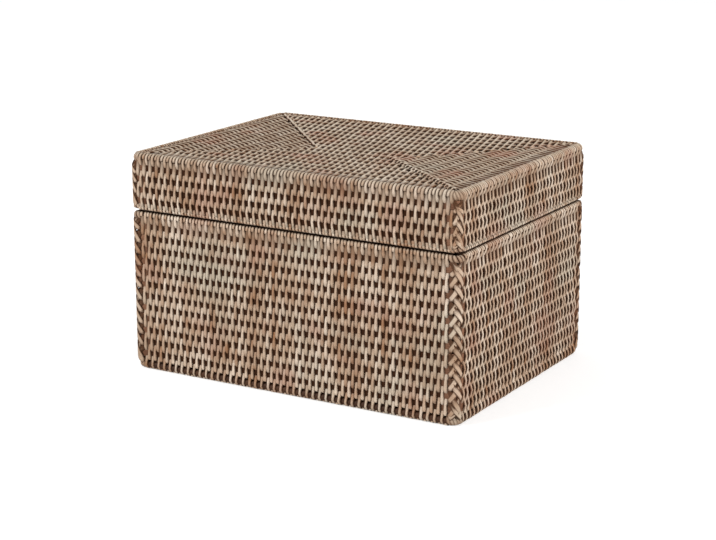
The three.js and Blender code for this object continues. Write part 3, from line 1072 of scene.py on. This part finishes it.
def corner_lacing(name, body, rows, lowest, highest, seed):
    """The strands of one corner, two to a row, each with its own start, end and tone."""
    draw = np.random.default_rng(seed)
    gaps = [lowest, *((a + b) / 2 for a, b in zip(rows, rows[1:])), highest]
    strands = []
    for i in range(1 - lace_span, len(gaps) - 1):
        for hand in range(2):
            start = gaps[max(i, 0)] + draw.normal(0, lace_spread)
            end = gaps[min(i + lace_span, len(gaps) - 1)] + draw.normal(0, lace_spread)
            tone = draw.uniform(*lace_tones)
            strands.append(lace_strand(f"{name}_{i}_{hand}", body, start, end, hand, tone))
    return joined(name, strands)


base_laced = (2 * foot_centre - foot_overlap, base_top - 2 * rim_centre + rim_overlap)
lid_laced = (lid_bottom + 2 * rim_centre - rim_overlap, lid_top - 2 * edge_centre)
laced_rows = {"base": (base_rows, *base_laced), "lid": (lid_rows, *lid_laced)}
for body, (rows, lowest, highest) in laced_rows.items():
    for i, corner in enumerate(corners):
        lacing = corner_lacing(
            f"{body}_laced_{corner}", body, rows, lowest, highest, lace_seed + i
        )
        to_corner(lacing, corner)
        lacing.data.materials.append(strip_finish)
        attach(lacing, body)
        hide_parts(f"{body}_lacing_{corner}")

# Round the bends of the rims, the foot and the lid's edge, short strips of pale cane are
# wound once round the cane, side by side, to fill the corner that the walls leave bare.
# They fan out round the bend.
wrap_slant = 1.3
wrap_width = 3.6
wrap_thickness = 1.0
wrap_shade, wrap_inner_shade = 0.22, 0.5
wrap_tones = (0.0, 0.5)
wrap_steps = 13
wrap_seed = 71
corner_reach = 9.0
bend_wraps = {
    "base_rim_cane": (base_top - rim_drop, rim_centre, rim_turn, (rim_round, 1.0), 4),
    "lid_rim_cane": (lid_bottom + rim_centre, rim_centre, rim_turn, (1.5, rim_flat), 4),
    "lid_edge_cane": (lid_top - edge_centre, edge_centre, edge_turn, (1.0, 1.0), 5),
    "base_foot_cane": (foot_centre, foot_centre, foot_turn, (1.4, 1.0), 5),
}


def bend_wrap(name, level, centre, bend, turn, flat, share, tone):
    """A strip once round the cane, at that share of the way round the corner."""
    bent = math.pi / 2 * (bend + turn)
    straight = corner_reach - centre - bend
    along = share * (bent + 2 * straight) - straight
    swing = min(max(along / (bend + turn), 0.0), math.pi / 2)
    rest = along - swing * (bend + turn)
    heading = np.array([-math.sin(swing), -math.cos(swing), 0.0])
    ahead = np.array([-math.cos(swing), math.sin(swing), 0.0])
    middle = np.array([centre + bend, centre + bend, level]) + bend * heading + rest * ahead
    angles = np.linspace(math.pi, -math.pi, wrap_steps)
    lift = np.sin(angles) * np.where(np.sin(angles) > 0, *flat)
    out = np.cos(angles)[:, None] * heading + lift[:, None] * upward
    path = middle + turn * out + wrap_slant * np.sin(angles)[:, None] * ahead
    away = (bend + turn * np.cos(angles)) / (bend + turn)
    crowd = away if 0 < along < bent else np.ones(wrap_steps)
    side = np.tile(ahead, (wrap_steps, 1))
    # The wrap is painted darker, most at its edges and on its inner side: painted shade round
    # the bend.
    sunk = wrap_shade + np.clip(-np.cos(angles), 0, 1) * wrap_inner_shade
    return flat_tube(name, path, side, out, wrap_width * crowd, wrap_thickness, sunk, tone)


draw = np.random.default_rng(wrap_seed)
for node_name, (level, centre, turn, flat, count) in bend_wraps.items():
    body, _, bend = cane_rings[node_name]
    wraps = []
    for corner in corners:
        for i in range(count):
            name = f"{node_name}_wrap_{corner}_{i}"
            share = (i + 0.5) / count
            tone = draw.uniform(*wrap_tones)
            wrap = bend_wrap(name, level, centre, bend, turn, flat, share, tone)
            to_corner(wrap, corner)
            wraps.append(wrap)
    wraps = joined(node_name + "_corner_wraps", wraps)
    wraps.data.materials.append(strip_finish)
    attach(wraps, body)
    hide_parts(node_name)

# Four thin wooden battens stand inside the rim of the base and rise into the lid, which
# keeps it in place. They are planed, their top edges are rounded, and they are stained.
# Their colour is darkened almost to black: painted shade in the seam between lid and base.
lip_stain_and_shade = stained_cane(
    "stained_and_shaded_batten", rgb(32, 19, 11), rgb(56, 36, 23),
    stretch=(60, 60, 900), scale=1.2, dullness=0.5, shine=0.08,
)
for side in walls:
    low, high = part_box(f"lip_{side}")
    batten = flat_slat(f"lip_{side}_batten", (low + high) / 2, high - low)
    batten.data.materials.append(lip_stain_and_shade)
    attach(batten, "base")
    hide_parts(f"lip_{side}")

# A thin round cane stands inside each corner, behind the slats, and the lacing is tucked
# round it. It is bare cane, cut off square at its ends.
for body in ("base", "lid"):
    for corner in corners:
        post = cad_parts[f"{body}_post_{corner}"]
        post.data.materials.clear()
        post.data.materials.append(round_cane_finish)

# The studio: a white floor and white surroundings, one large soft lamp from the left and
# above, a weaker one from the right, and even light from all round.
floor_glow = 0.5
sky_light, sky_seen = 0.55, 1.0
lamp_target = Vector((0, 0, 0.09))
lamp_size = 1.4
choose()
bpy.ops.mesh.primitive_plane_add(size=12, location=(0, 0, 0))
floor = bpy.context.object
floor.name = "studio_floor"
floor_finish, tree, shader = new_material("studio_floor")
seen = node(tree, "LightPath").outputs
shown = maths(tree, "MULTIPLY", seen["Is Camera Ray"], floor_glow)
feed(tree, shader, {"Base Color": (0.65, 0.65, 0.65, 1), "Roughness": 0.9})
feed(tree, shader, {"Emission Color": (1, 1, 1, 1), "Emission Strength": shown})
floor.data.materials.append(floor_finish)

world = bpy.data.worlds.new("studio")
bpy.context.scene.world = world
world.use_nodes = True
sky = world.node_tree
background = sky.nodes["Background"]
seen = node(sky, "LightPath").outputs
straight = maths(sky, "MAXIMUM", seen["Is Camera Ray"], seen["Is Glossy Ray"])
strength = ranged(sky, straight, 0.0, 1.0, sky_light, sky_seen)
feed(sky, background, {"Color": (1, 1, 1, 1), "Strength": strength})


def set_up(name, data, place, aim):
    """A lamp or a camera at that place, turned that way."""
    stand = bpy.data.objects.new(name, data)
    bpy.context.scene.collection.objects.link(stand)
    stand.location = place
    stand.rotation_mode = "QUATERNION"
    stand.rotation_quaternion = aim.to_track_quat("-Z", "Y")
    return stand


def soft_lamp(name, place, watts):
    lamp = bpy.data.lights.new(name, "AREA")
    lamp.shape = "SQUARE"
    lamp.size = lamp_size
    lamp.energy = watts
    set_up(name, lamp, place, lamp_target - Vector(place))


soft_lamp("key_lamp", (-1.8, -2.6, 2.0), watts=98)
soft_lamp("side_lamp", (3.1, -0.2, 1.25), watts=84)

camera = bpy.data.cameras.new("camera")
camera.lens = 92.0
camera.sensor_width = 36.0
azimuth, elevation, distance = math.radians(30.45), math.radians(14.71), 1.517
target = Vector((0, -0.0044, 0.0787))
level = math.cos(elevation)
back = Vector((math.sin(azimuth) * level, -math.cos(azimuth) * level, math.sin(elevation)))
bpy.context.scene.camera = set_up("camera", camera, target + back * distance, -back)
bpy.context.scene.view_settings.view_transform = "Standard"
